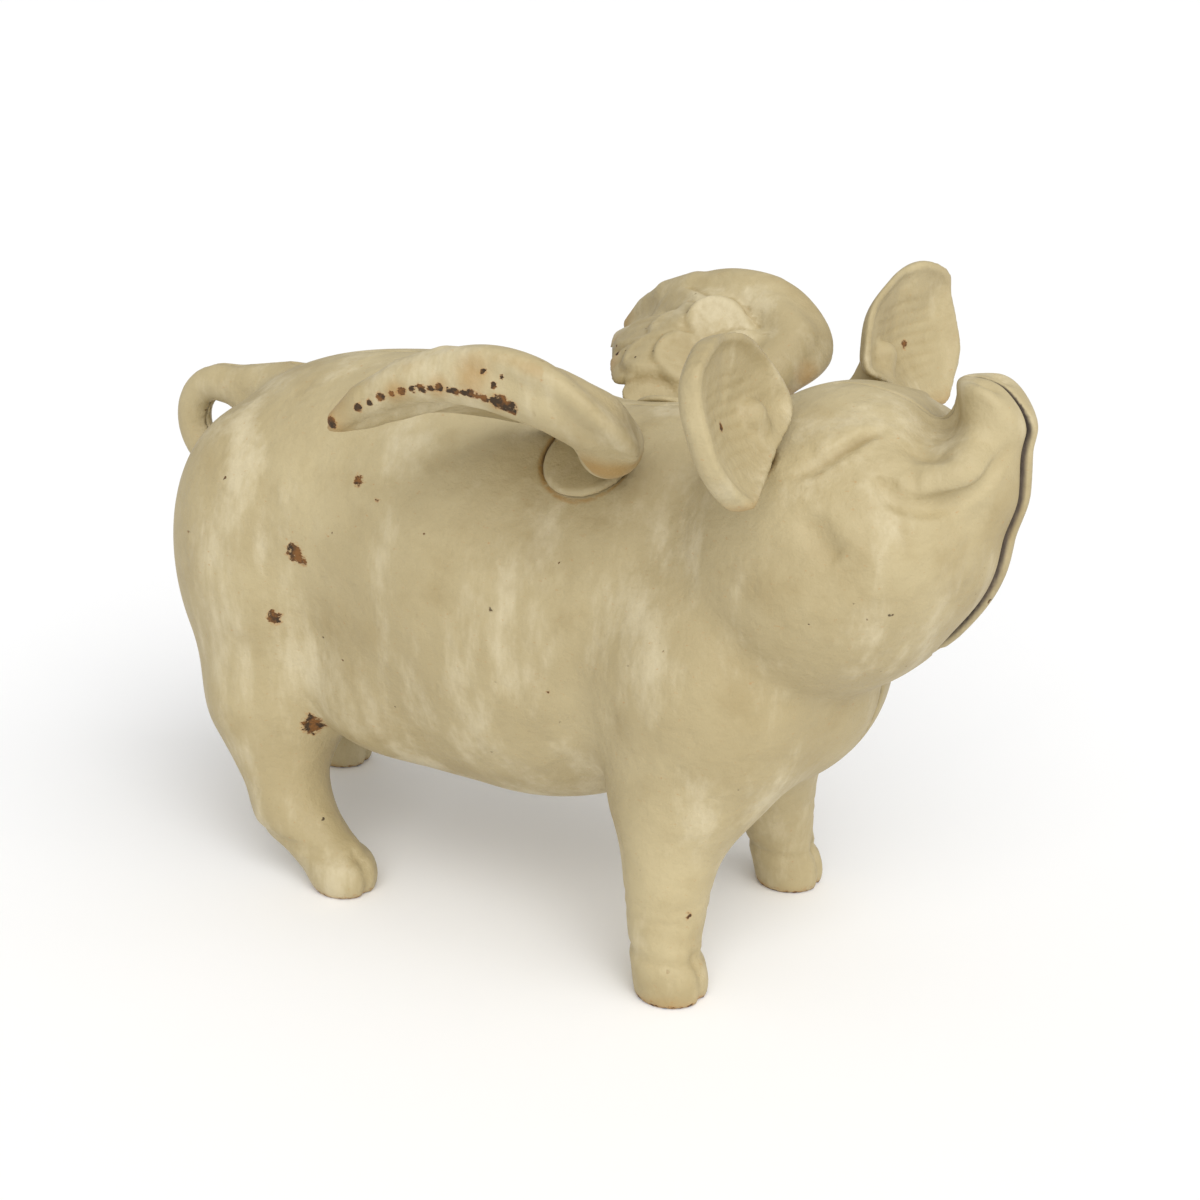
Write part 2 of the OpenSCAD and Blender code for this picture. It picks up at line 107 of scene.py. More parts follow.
def limb(p, a, b, ra, rb):
    """Round-ended cone from a to b."""
    a, b = np.array(a, float), np.array(b, float)
    ba = b - a
    l2, rr = ba @ ba, ra - rb
    a2 = l2 - rr * rr
    pa = [p[i] - a[i] for i in range(3)]
    y = sum(pa[i] * ba[i] for i in range(3))
    z = y - l2
    x2 = sum((pa[i] * l2 - ba[i] * y) ** 2 for i in range(3))
    y2, z2 = y * y * l2, z * z * l2
    k = np.sign(rr) * rr * rr * x2
    return np.where(np.sign(z) * a2 * z2 > k, np.sqrt(x2 + z2) / l2 - rb,
                    np.where(np.sign(y) * a2 * y2 < k, np.sqrt(x2 + y2) / l2 - ra,
                             (np.sqrt(x2 * a2 / l2) + y * rr) / l2 - ra))


def rod(p, c, d, r, h0, h1, k=0.6):
    """Cylinder about the line through c along d, between the heights h0 and h1."""
    d = np.array(d, float) / np.linalg.norm(d)
    q = [p[i] - c[i] for i in range(3)]
    h = sum(q[i] * d[i] for i in range(3))
    rad = np.sqrt(np.maximum(sum(v * v for v in q) - h * h, 0))
    return smax(rad - r, np.maximum(h0 - h, h - h1), k)


def path(p, pts):
    """Distance to a bent line of points, and how far along the line, from 0 to 1."""
    pts = np.array(pts, float)
    seg = np.linalg.norm(np.diff(pts, axis=0), axis=1)
    at = np.concatenate([[0], np.cumsum(seg)]) / seg.sum()
    best = np.full(np.shape(p[0]), 1e9)
    where = np.zeros(np.shape(p[0]))
    for a, b, s, e in zip(pts[:-1], pts[1:], at[:-1], at[1:]):
        ba = b - a
        t = np.clip(sum((p[i] - a[i]) * ba[i] for i in range(3)) / (ba @ ba), 0, 1)
        d = np.sqrt(sum((p[i] - a[i] - ba[i] * t) ** 2 for i in range(3)))
        nearer = d < best
        best, where = np.where(nearer, d, best), np.where(nearer, s + (e - s) * t, where)
    return best, where


# ---- the animal ----
LEG_CREASE, HEAD_CREASE = 4.5, 3.5   # how softly the legs and the head run into the trunk


def hind_leg(p, s):
    d = smin(ell(p, (-79 - s / 4, 20, 84), (32, 25, 46), -10),
             limb(p, (-80 - s * 0.35, 27, 48), (-72 - s * 0.6, 31, 21), 17, 9.5), 14)
    d = smin(d, limb(p, (-72 - s * 0.6, 31, 20), (-56 - s, 33, 7), 9.5, 8), 6)
    return smin(d, ell(p, (-52 - s, 33.5, 4.5), (9, 8.5, 9)), 4)


def front_leg(p):
    d = smin(ell(p, (51, 19, 80), (30, 26, 38)), limb(p, (47, 27, 46), (48.5, 33, 13), 13.5, 8.8), 16)
    return smin(d, ell(p, (51, 34, 3.5), (9.5, 9, 10)), 5)


def trunk(p):
    d = ell(p, (-8, 0, 84), (61, 45, 54))
    d = smin(d, ell(p, (-38, 0, 74), (40, 38, 43)), 10)
    d = smin(d, ell(p, (-46, 20, 60), (22, 18, 19)), 10)
    d = smin(d, ell(p, (-37, 0, 105), (57, 40, 40)), 14)
    d = smin(d, ell(p, (-71, 0, 98), (42, 40, 40)), 14)
    d = smin(d, ell(p, (38, 0, 96), (40, 38, 44)), 16)
    return smin(d, ell(p, (51, 0, 81), (38, 36, 36)), 12)


def snout(p):
    """Short barrel with a flat end that looks up."""
    barrel = smin(limb(p, (106.5, 0, 131), (110.6, 0, 146), 12, 8.8),
                  limb(p, (110.6, 0, 146), (110.6, 0, 160), 8.8, 8.4), 2)
    return smax(barrel, p[2] - 155.3 + np.maximum(p[0] - 108, 0) ** 2 * 0.065, 2.5)


def skull(p):
    """The head without its snout, as the hollow knows it."""
    d = smin(ell(p, (79, 0, 116), (34, 38, 34.5)), ell(p, (72, 12, 109), (33, 28, 31)), 8)
    d = smin(d, limb(p, (96.5, 0, 118), (105.5, 0, 130), 18.5, 12.3), 8)
    return smin(d, ell(p, (92, 16, 121), (17, 17, 18)), 8)


def head(p):
    d = smin(skull(p), ell(p, (107, 10, 137), (8.5, 9, 8)), 5)
    return smin(d, snout(p), 4.5)


def pig(p, s):
    """The whole animal without tail, hooves and face. Its hind leg is set back by s."""
    d = smin(trunk(p), hind_leg(p, s), LEG_CREASE)
    d = smin(d, front_leg(p), LEG_CREASE)
    return smin(d, head(p), HEAD_CREASE)


def hollow(p, s):
    """The coin chamber inside the skin."""
    d = smin(trunk(p), hind_leg(p, s), 14)
    d = smin(smin(d, front_leg(p), 14), skull(p), 14)
    return smax(smax(d + WALL, LEG_SOLID_Z - p[2], 10), pig(p, s) + SKIN_MIN, 1.5)


# ---- features of the face, as lines of points on the left ----
LID = [(79, 30, 143), (82, 27.5, 145), (85.5, 24, 147), (88.5, 20.5, 148.5), (91, 17, 149)]
EYE = [(77, 34, 138), (80.5, 32, 138.8), (84, 29, 140.8), (87.5, 25, 143.7), (90.5, 20.5, 146.3),
       (93, 17, 148)]
MOUTH = [(97.5, 26, 139), (97.6, 27, 136), (99.5, 26.8, 132.9), (104.5, 23.5, 131.2), (109, 18.5, 132),
         (112.5, 14, 134.5), (115, 10, 138), (116.5, 7, 141)]
CHEEK = [(83, 37, 130.5), (85.5, 37, 127), (88, 37, 124), (92, 36, 120)]
VALLEY = [(99, 0, 149), (100.5, 7, 147), (102.5, 12, 144.5), (103.5, 15.5, 141), (103, 18, 138)]
LIP = [(101.5, 23, 137), (106, 19, 136.5), (110.5, 14.5, 138.5)]
# line, depth (a swelling if negative), width at its start and end, and how quickly it fades at both ends
FEATURES = ((VALLEY, 3.2, 5.0, 5.0, 6, 6), (LID, -1.3, 5.4, 4.2, 3, 3), (EYE, 2.1, 1.5, 1.2, 4, 4),
            (CHEEK, 2.3, 2.8, 2.6, 4, 4), (LIP, -1.8, 3.6, 3.2, 4, 4), (MOUTH, 6.5, 1.9, 1.4, 16, 5))
NOSTRIL_X, NOSTRIL_Y, NOSTRIL_LONG, NOSTRIL_WIDE, NOSTRIL_DEPTH = 110.5, 4.2, 2.6, 1.8, 1.6
RIM_STEP = 0.9       # how far the left half's front edge stands out and the right one's is set in


def rounded(pts, steps=4):
    """The open line of points, with curved joints."""
    v = np.array(pts, float)
    v = np.vstack([2 * v[0] - v[1], v, 2 * v[-1] - v[-2]])
    out = []
    for i in range(1, len(v) - 2):
        a, b, c, d = v[i - 1:i + 3]
        for f in np.arange(steps) / steps:
            out.append((2 * b + (c - a) * f + (2 * a - 5 * b + 4 * c - d) * f ** 2
                        + (3 * b - a - 3 * c + d) * f ** 3) / 2)
    return np.array(out + [v[-2]])


def grad(f, v, far):
    """Slope of the field f at the points."""
    return np.stack([(f(tuple((v + e).T)) - f(tuple((v - e).T))) / (2 * far) for e in np.eye(3) * far], 1)


def onto(v, f, turns=6, far=0.3):
    """The points moved to the surface of field f."""
    for _ in range(turns):
        g = grad(f, v, far)
        v = v - g * np.clip(f(tuple(v.T)) / np.maximum((g ** 2).sum(1), 0.1), -2, 2)[:, None]
    return v


LINES = [(onto(rounded(l), lambda p: pig(p, 0)), *rest) for l, *rest in FEATURES]


def bell(v, w):
    """1 at zero, falling off over the width w."""
    return np.exp(-(v / w) ** 2)


def face(p, d, rim):
    """Cuts and swells the features of the face into the field d. Its front edge is set in by rim."""
    zone = (p[0] > 60) & (p[2] > 90) & (np.abs(d) < 12)
    q = tuple(c[zone] for c in p)
    add = np.zeros_like(q[0])
    for line, depth, w0, w1, e0, e1 in LINES:
        r, t = path(q, line)
        ends = np.clip(np.minimum(t * e0, (1 - t) * e1), 0, 1)
        ends = 0.1 + 0.9 * ends * ends * (3 - 2 * ends)
        add += depth * ends * bell(r, w0 + (w1 - w0) * t)
    # nostrils on the flat end
    hole = np.hypot((q[0] - NOSTRIL_X) / NOSTRIL_LONG, (q[1] - NOSTRIL_Y) / NOSTRIL_WIDE)
    add += NOSTRIL_DEPTH * bell(hole, 1) * (q[2] > 150)
    add += rim * bell(q[1], 8.0) * np.clip((q[0] - 98) / 8, 0, 1) * np.clip((154 - q[2]) / 8, 0, 1)
    out = d.copy()
    out[zone] += add
    return out


def outer(p, s):
    """Outer surface of the animal with its tail, hooves and face."""
    # the left half, whose hind leg is set back, stands out round the snout, chin and throat
    d = face(p, pig(p, s), -RIM_STEP if s else RIM_STEP)
    ring = np.sqrt((p[0] - TAIL_X) ** 2 + (p[2] - TAIL_Z) ** 2) - TAIL_R
    ring = np.sqrt(ring ** 2 + p[1] ** 2) - TAIL_THICK
    d = smin(d, smin(ring, limb(p, (-114, 0, 128.2), (-90, 0, 131), TAIL_THICK, 6), 3), 3)
    # the hoof's upper edge, two folds of skin above it, and the cleft in front
    front = p[0] > 0
    toe = np.where(front, 51, -52 - s)
    d = d + np.where(p[2] < 40, 0.7 * bell(p[2] - 11.5 - 0.12 * (toe - p[0]), 1.3)
                     + np.where(front, 0.25 * bell(p[2] - 22, 1.0) + 0.3 * bell(p[2] - 26, 1.2), 0)
                     + 1.1 * bell(p[1] - 34.5, 1.3) * (p[2] < 14) * np.clip((p[0] - toe) / 6, 0, 1), 0)
    return d


def at_jaw(p):
    """1 along the snout, chin and throat, where the joint between the halves gapes, and 0 elsewhere."""
    return np.clip(np.maximum((p[0] - 104) / 5, np.minimum((p[0] - 86) / 6, (128 - p[2]) / 6)), 0, 1)


def half(p, s, right):
    """One hollow half, with its distance from the mid-plane as y."""
    skin = outer(p, s)
    d = smax(skin, -hollow(p, s), 1.0)
    inside = skin + 1.5

    def across(x, z, r, y0, y1):
        return rod(p, (x, 0, z), (0, 1, 0), r, y0, y1)

    pads = [rod(p, WING_SEAT, WING_DIR, WING_PAD_R, -5, -1), rod(p, EAR_SEAT, EAR_DIR, EAR_PAD_R, -5, -1)]
    pads += [across(x, z, PEG_PAD_R, 0, 13) for x, z in PEGS]
    pads += [across(SCREW_X, SCREW_Z, SLEEVE_R, 0.4, 41)]
    for pad in pads:
        d = smin(d, np.maximum(pad, inside), 1.2)
    slot = np.maximum(np.abs(p[0] - SLOT_X) - SLOT_L / 2, p[1] - SLOT_W / 2)
    cuts = [rod(p, WING_SEAT, WING_DIR, DISC_R + 0.35, 0, 20, 0.3),
            rod(p, EAR_SEAT, EAR_DIR, EAR_FACE_R, 0, 12),
            rod(p, WING_SEAT, WING_DIR, WING_BORE_R, -20, 5),
            rod(p, EAR_SEAT, EAR_DIR, EAR_BORE_R, -20, 5),
            rod(p, WING_SEAT, WING_DIR, WING_RECESS_R, -14, -5),
            rod(p, EAR_SEAT, EAR_DIR, EAR_RECESS_R, -14, -5),
            np.maximum(slot, SLOT_Z - p[2]), p[2]]
    if right:
        cuts.append(across(SCREW_X, SCREW_Z, SCREW_BORE_R, -1, 34))
    else:
        cuts += [across(SCREW_X, SCREW_Z, SCREW_HOLE_R, -1, 60),
                 across(SCREW_X, SCREW_Z, HEAD_RECESS_R, FLANK_Y, 60)]
        cuts += [across(x, z, PEG_HOLE_R, -1, 6.5) for x, z in PEGS]
    for cut in cuts:
        d = smax(d, -cut, 0.7)
    open_at = at_jaw(p)
    gap = SEAM_SHUT + (SEAM_OPEN - SEAM_SHUT) * open_at
    return smax(d, gap - p[1], 0.5 + (0.7 if right else 1.6) * open_at)


# ---- surface nets: a mesh of fours around the cells that the surface crosses ----
def nets(f, low, h):
    """Points and faces of the surface where the grid of values f, with cells of size h, is zero."""
    nx, ny, nz = f.shape
    s = f < 0
    corners = [(i, j, k) for i in (0, 1) for j in (0, 1) for k in (0, 1)]

    def at(a, o):
        return a[o[0]:nx - 1 + o[0], o[1]:ny - 1 + o[1], o[2]:nz - 1 + o[2]]

    count = sum(at(s, o).astype(np.int8) for o in corners)
    act = (count > 0) & (count < 8)
    cells = np.argwhere(act)
    number = -np.ones(act.shape, np.int64)
    number[act] = np.arange(len(cells))
    val = {o: at(f, o)[act] for o in corners}
    mid, n = np.zeros((len(cells), 3)), np.zeros(len(cells))
    for a in corners:
        for ax in range(3):
            if a[ax] == 0:
                b = tuple(1 if i == ax else a[i] for i in range(3))
                x = (val[a] < 0) != (val[b] < 0)
                q = np.tile(np.array(a, float), (x.sum(), 1))
                q[:, ax] = val[a][x] / (val[a][x] - val[b][x])
                mid[x] += q
                n[x] += 1
    quads = []
    for ax in range(3):
        b1, b2 = [(1, 2), (2, 0), (0, 1)][ax]
        one, two = [slice(None)] * 3, [slice(None)] * 3
        one[ax], two[ax] = slice(0, -1), slice(1, None)
        for b in (b1, b2):
            one[b] = two[b] = slice(1, -1)
        a, b = s[tuple(one)], s[tuple(two)]
        e = np.argwhere(a != b)
        flip = a[tuple(e.T)]
        e[:, b1] += 1
        e[:, b2] += 1

        def cell(d1, d2):
            q = e.copy()
            q[:, b1] -= d1
            q[:, b2] -= d2
            return number[tuple(q.T)]

        q = np.stack([cell(1, 1), cell(0, 1), cell(0, 0), cell(1, 0)], 1)
        q[~flip] = q[~flip][:, ::-1]
        quads.append(q)
    return (cells + mid / n[:, None]) * h + np.array(low), np.concatenate(quads)


def in_slabs(f, v, n=60000):
    """f of the points, some at a time, to keep memory low."""
    return np.concatenate([f(v[i:i + n]) for i in range(0, len(v), n)])


def half_mesh(side):
    """Points with their real Y, faces, and per-point values for the material."""
    right = side < 0
    s = 0.0 if right else HIND_STEP

    def f(p):
        return half(p, s, right)

    low, high = (-136, -2.0, -3), (126, 50, 162)
    ax = [np.arange(low[i], high[i], CELL) for i in range(3)]
    val = np.stack([f(np.meshgrid([x], ax[1], ax[2], indexing="ij"))[0] for x in ax[0]])
    v, q = nets(val, low, CELL)
    v = in_slabs(lambda w: onto(w, f, 3, 0.2), v)
    # finer cells on the face
    fine = (v[:, 0] > 74) & (v[:, 2] > 112) & (outer(tuple(v.T), s) > -1.5)
    v, q = refine(v, q, fine)
    v = in_slabs(lambda w: onto(w, f, 2, 0.15), v)
    skin = in_slabs(lambda w: outer(tuple(w.T), s), v)
    # bend: how hollow or crested the skin is round each point, which the material darkens with painted shade
    # where it is hollow
    around = np.vstack([np.eye(3), -np.eye(3)]) * BEND_REACH
    mean = in_slabs(lambda w: sum(outer(tuple((w + d).T), s) for d in around) / 6, v)
    # dirt and painted shade in the open joint, and none on the left half's edge where it stands out beyond
    # the right one
    dirt = np.clip(1.8 - v[:, 1] / 0.60, 0, 1) * (0.2 + 0.8 * at_jaw(tuple(v.T)))
    if not right:
        dirt = dirt * np.clip(0.1 - in_slabs(lambda w: outer(tuple(w.T), 0), v) / 0.4, 0, 1)
    values = {"bare": np.clip(-skin / 0.8 - 0.9, 0, 1), "bend": (mean - skin) / BEND_REACH ** 2, "dirt": dirt}
    v = v * [1, side, 1]
    return v, (q if side > 0 else [loop[::-1] for loop in q]), values


def refine(v, quads, fine):
    """Splits the faces whose corners are all marked."""
    bm = bmesh.new()
    vs = [bm.verts.new(c) for c in v]
    for q in quads:
        bm.faces.new([vs[i] for i in q])
    bm.verts.index_update()
    edges = [e for e in bm.edges if fine[e.verts[0].index] and fine[e.verts[1].index]]
    bmesh.ops.subdivide_edges(bm, edges=edges, cuts=1, use_grid_fill=True)
    bm.verts.index_update()
    out = np.array([w.co[:] for w in bm.verts])
    faces = [[w.index for w in f.verts] for f in bm.faces]
    bm.free()
    return out, faces


# ---- wings and ears: domed leaves drawn inside a closed outline ----
def catmull(pts, t):
    """Values on the closed smooth curve through the points, at t counted in points."""
    v = np.array(pts, float)
    n = len(v)
    i = np.floor(t).astype(int)
    f = (t - i).reshape((-1,) + (1,) * (v.ndim - 1))
    a, b, c, d = v[(i - 1) % n], v[i % n], v[(i + 1) % n], v[(i + 2) % n]
    return (2 * b + (c - a) * f + (2 * a - 5 * b + 4 * c - d) * f ** 2 + (3 * b - a - 3 * c + d) * f ** 3) / 2


# the wing's outline, from its front down its trailing edge, and how much each point's edge is rolled
WING = [(49.5, 49, 142), (46, 58, 150), (34, 62, 159), (17, 63, 161.5), (0, 64, 157.5), (-14, 66, 149.5),
        (-23, 67, 141), (-18, 54, 142.5), (-11, 40, 141.5), (-4, 28.5, 138.5), (4.5, 18.5, 134.5),
        (16, 19.5, 132.5), (30, 28, 131), (42, 38, 135.5)]
WING_ROLL = [1, 1, 1, 0.95, 0.8, 0.55, 0.25, 0.1, 0, 0, 0, 0, 0.3, 0.8]
WING_MID, WING_AXIS = (14, 43, 150), (-0.1, -0.5, 0.85)
EAR = [(69, 49, 169.3), (69.3, 40, 167.8), (68.7, 30, 162.5), (70.5, 23, 155), (72, 20.5, 149),
       (74, 26, 145.5), (75.5, 36, 141), (77.5, 46, 136.5), (79.8, 55, 135), (79, 62, 139.5),
       (78, 68, 146), (76, 69.5, 153), (74, 69.5, 160), (73.4, 68, 166), (71.5, 58, 169.8)]
EAR_MID, EAR_AXIS = (73, 46, 152), (0.96, 0, 0.27)

# feathers in the wing's plane: tip, radius and layer. They all grow from one root
ROOT = (17.0, -9.0)
FEATHERS = [((17, -9), 5.0, 5), ((16, -10), 9.5, 4), ((7, 0), 7.8, 3), ((23, -6), 10.0, 3),
            ((3, -14), 7.5, 3), ((-4, -3), 7.8, 2), ((-7, -15), 7.5, 2), ((-13, 7), 7.5, 1),
            ((-18, -3), 7.5, 1), ((-15, -18), 7.5, 1)]
# gaps between feather tips: place on the outline and depth
NOTCHES = [(5.5, 0.10), (6.35, 0.19), (9.75, 0.14)]


def feathers(u, w):
    """Height of the layered feathers over the wing's plane."""
    rho = np.hypot(u - ROOT[0], w - ROOT[1])
    turn = np.arctan2(w - ROOT[1], u - ROOT[0])
    h = np.zeros_like(u)
    for (tu, tw), r, layer in FEATHERS:
        du, dw = ROOT[0] - tu, ROOT[1] - tw
        l2 = max(du * du + dw * dw, 1e-6)
        t = np.clip(((u - tu) * du + (w - tw) * dw) / l2, 0, 1)
        d = np.hypot(u - tu - du * t, w - tw - dw * t) - r
        up = np.clip(-d / 1.1, 0, 1)
        lip = 0.35 * bell(d + 2.0, 1.1)
        h = np.maximum(h, np.where(up > 0, layer - 1 + up * up * (3 - 2 * up) + lip, 0))
    quill = 0.05 * np.sin(turn * 46 + 2.5 * np.sin(rho * 0.3))
    return h - 5 * np.exp(-rho / 20) + quill


def leaf(edge, middle, axis, dome, thick, rolls, roll, nr, na, relief, notches, swell, belly, sharp):
    """A closed leaf on the left, as points, faces and values: rim is 1 at its edge, turn is the place along
    the outline, and hole tells its hollows. It is domed and thick by so much at its middle. rolls times roll
    is the thickness of its rolled edge, belly and swell push its back down and out, and sharp shapes its rim.
    """
    mid = np.array(middle, float)
    n = np.array(axis, float) / np.linalg.norm(axis)
    e1 = np.array([1, 0, 0]) - n * n[0]
    e1 /= np.linalg.norm(e1)
    e2 = np.cross(n, e1)
    t = np.arange(na) * len(edge) / na
    border, lead = catmull(edge, t), catmull(rolls, t)
    cut = sum((k * np.exp(-(np.abs(t - c) / 0.2) ** 1.3) for c, k in notches), np.zeros(na))
    r = np.sin(np.arange(1, nr + 1) / nr * np.pi / 2)[:, None]
    spread = r * (1 - cut[None] * r ** 6)
    flat = mid + (border - mid)[None] * spread[..., None]
    flat = flat + n * (dome * (1 - r * r))[..., None]
    half_t = (thick / 2 + roll * np.maximum(lead, 0)[None] * r ** 3) * np.sqrt(np.maximum(1 - r ** sharp, 0))
    rel = flat - mid
    u, w = rel @ e1, rel @ e2
    keep = np.clip((1 - r) / 0.08, 0, 1) * (1 - np.clip((r - 0.60) / 0.14, 0, 1) * np.clip(lead, 0, 1)[None])
    h = relief(u, w, r, True) * keep
    hb = relief(u, w, r, False) * keep
    # hole: the hollows between the raised relief, which the material darkens with painted shade
    mean = sum(relief(u + 1.5 * math.cos(a), w + 1.5 * math.sin(a), r, True) for a in range(6)) / 6
    hole = np.clip((mean * keep - h) / 0.35, 0, 1)
    top = flat + n * (half_t + h)[..., None]
    bottom = flat - n * (half_t + hb + belly * (1 - r ** 4))[..., None]
    if swell:
        # the back stands out beyond the rim on the outer side
        away = border - mid
        away = away / np.linalg.norm(away, axis=1)[:, None]
        amount = swell * np.sin(np.pi * r ** 2.2) * np.clip(away @ np.array([0, 1.0, 0]) * 1.6, 0, 1)[None]
        bottom = bottom + away[None] * amount[..., None]
    none = np.zeros((1, 1))
    hc = float(relief(none, none, none, True)[0, 0])
    tips = np.stack([mid + n * (dome + thick / 2 + hc), mid + n * (dome - thick / 2 - belly)])
    pts = np.vstack([top.reshape(-1, 3), bottom[:-1].reshape(-1, 3), tips])

    def both(a, b):
        a, b = np.broadcast_to(a, (nr, na)), np.broadcast_to(b, (nr, na))
        return np.concatenate([a.ravel(), b[:-1].ravel(), [a[0].mean(), b[0].mean()]])

    values = {"rim": both(r, r), "turn": both(t[None], t[None]), "hole": both(hole, hole * 0)}
    i = np.arange(nr * na).reshape(nr, na)
    lower = np.vstack([i[:-1] + nr * na, i[-1:]])
    nxt = np.roll(i, -1, 1)
    lnx = np.roll(lower, -1, 1)
    faces = np.concatenate([np.stack([i[:-1], i[1:], nxt[1:], nxt[:-1]], -1).reshape(-1, 4),
                            np.stack([lnx[:-1], lnx[1:], lower[1:], lower[:-1]], -1).reshape(-1, 4)]).tolist()
    c = len(pts) - 2
    faces += [[c, int(a), int(b)] for a, b in zip(i[0], nxt[0])]
    faces += [[c + 1, int(b), int(a)] for a, b in zip(lower[0], lnx[0])]
    return pts, faces, values


def wing_relief(u, w, r, upper):
    if not upper:
        return 0.12 * np.sin(np.hypot(u - ROOT[0], w - ROOT[1]) * 0.9)
    return feathers(u, w)


def ear_relief(u, w, r, upper):
    if not upper:
        return 0 * u
    ribs = 0.14 * np.sin(u * 2.3 + 0.6 * np.sin(w * 0.35)) * np.clip((0.74 - r) / 0.2, 0, 1)
    return ribs + 0.9 * bell(r - 0.92, 0.05) - 0.5 * bell(r - 0.78, 0.09)


def lathe(profile, at, along, steps=48):
    """Closed body of revolution about the line from at along a direction. The profile is (radius, height)."""
    d = np.array(along, float) / np.linalg.norm(along)
    a = np.cross(d, (0, 0, 1) if abs(d[2]) < 0.9 else (1, 0, 0))
    a /= np.linalg.norm(a)
    b = np.cross(d, a)
    ang = np.arange(steps) * 2 * np.pi / steps
    ring = np.cos(ang)[:, None] * a + np.sin(ang)[:, None] * b
    pts = np.concatenate([np.array(at) + ring * r + d * h for r, h in profile])
    n = len(profile)
    faces = []
    for i in range(n - 1):
        for j in range(steps):
            k = (j + 1) % steps
            faces.append([i * steps + j, i * steps + k, (i + 1) * steps + k, (i + 1) * steps + j])
    faces.append(list(range(steps))[::-1])
    faces.append(list(range((n - 1) * steps, n * steps)))
    return pts, faces


def joined(parts):
    """Several (points, faces, values) as one. Values missing from a part are zero."""
    names = sorted({k for p in parts for k in p[2]})
    pts, faces, base = [], [], 0
    values = {k: [] for k in names}
    for p, f, val in parts:
        pts.append(p)
        faces += [[int(i) + base for i in q] for q in f]
        for k in names:
            values[k].append(np.asarray(val.get(k, np.zeros(len(p)))))
        base += len(p)
    return np.vstack(pts), faces, {k: np.concatenate(v) for k, v in values.items()}


def mirrored(part, side):
    """The left part as it is, or mirrored to the right where side is -1."""
    if side > 0:
        return part
    pts, faces, values = part
    return pts * [1, -1, 1], [q[::-1] for q in faces], values


def ball_limb(a, b, ra, rb, steps=40):
    """Closed round-ended cone from a to b."""
    a, b = np.array(a, float), np.array(b, float)
    span = np.linalg.norm(b - a)
    ang = np.linspace(0.04, np.pi / 2, 9)
    profile = [(ra * math.sin(t), -ra * math.cos(t)) for t in ang]
    profile += [(rb * math.cos(t), span + rb * math.sin(t)) for t in np.linspace(0, np.pi / 2 - 0.04, 9)]
    return (*lathe(profile, a, b - a, steps), {})


def fuse(parts, cell, soft, turns):
    """One skin round overlapping closed parts. soft says where the joints are smoothed, from 0 to 1."""
    pts, faces, values = joined(parts)
    mesh = bpy.data.meshes.new("fusing")
    mesh.from_pydata(pts.tolist(), [], [list(q) for q in faces])
    obj = bpy.data.objects.new("fusing", mesh)
    bpy.context.scene.collection.objects.link(obj)
    mod = obj.modifiers.new("skin", "REMESH")
    mod.mode, mod.voxel_size, mod.adaptivity = "VOXEL", cell, 0
    done = obj.evaluated_get(bpy.context.evaluated_depsgraph_get()).to_mesh()
    out = np.empty(len(done.vertices) * 3)
    done.vertices.foreach_get("co", out)
    out = out.reshape(-1, 3).astype(float)
    new_faces = [list(q.vertices) for q in done.polygons]
    edges = np.empty(len(done.edges) * 2, int)
    done.edges.foreach_get("vertices", edges)
    bpy.data.objects.remove(obj)
    bpy.data.meshes.remove(mesh)
    a, b = edges.reshape(-1, 2).T
    count = np.bincount(np.concatenate([a, b]), minlength=len(out))[:, None]
    for turn in range(turns):
        total = np.zeros_like(out)
        for i in range(3):
            total[:, i] = np.bincount(a, out[b, i], len(out)) + np.bincount(b, out[a, i], len(out))
        # the first two turns also take the voxel steps off the whole skin
        weight = soft(out) * 0.6 + (0.35 if turn < 2 else 0)
        out += (total / count - out) * np.clip(weight, 0, 0.7)[:, None]
    tree = KDTree(len(pts))
    for i, c in enumerate(pts):
        tree.insert(c, i)
    tree.balance()
    closest = np.array([tree.find(c)[1] for c in out])
    return out, new_faces, {k: v[closest] for k, v in values.items()}


def chips(pts, spots):
    """How close each point is to rust chips, given as (x, y, z, radius)."""
    out = np.zeros(len(pts))
    for x, y, z, r in spots:
        d = np.sqrt(((pts - (x, y, z)) ** 2).sum(1))
        out = np.maximum(out, np.clip(1.5 - d / r, 0, 1))
    return out


def washes(pts, spots):
    """1 in the middle of the spots (x, y, z, radius), fading outwards."""
    return np.max([bell(np.sqrt(((pts - (x, y, z)) ** 2).sum(1)), r) for x, y, z, r in spots], 0)


def build(name, part, body, node, material):
    """Makes the Blender piece of a part, in the frame, riding on its body in place of its CAD node."""
    pts, faces, values = part
    mesh = bpy.data.meshes.new(name)
    mesh.from_pydata(((pts + [SHIFT, 0, 0]) * MM).tolist(), [], [[int(i) for i in f] for f in faces])
    mesh.validate()
    for key, val in values.items():
        mesh.attributes.new(key, "FLOAT", "POINT").data.foreach_set("value", np.asarray(val, np.float32))
    mesh.polygons.foreach_set("use_smooth", [True] * len(mesh.polygons))
    mesh.update()
    obj = bpy.data.objects.new(name, mesh)
    bpy.context.scene.collection.objects.link(obj)
    mesh.materials.append(material)
    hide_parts(node)
    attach(obj, body)


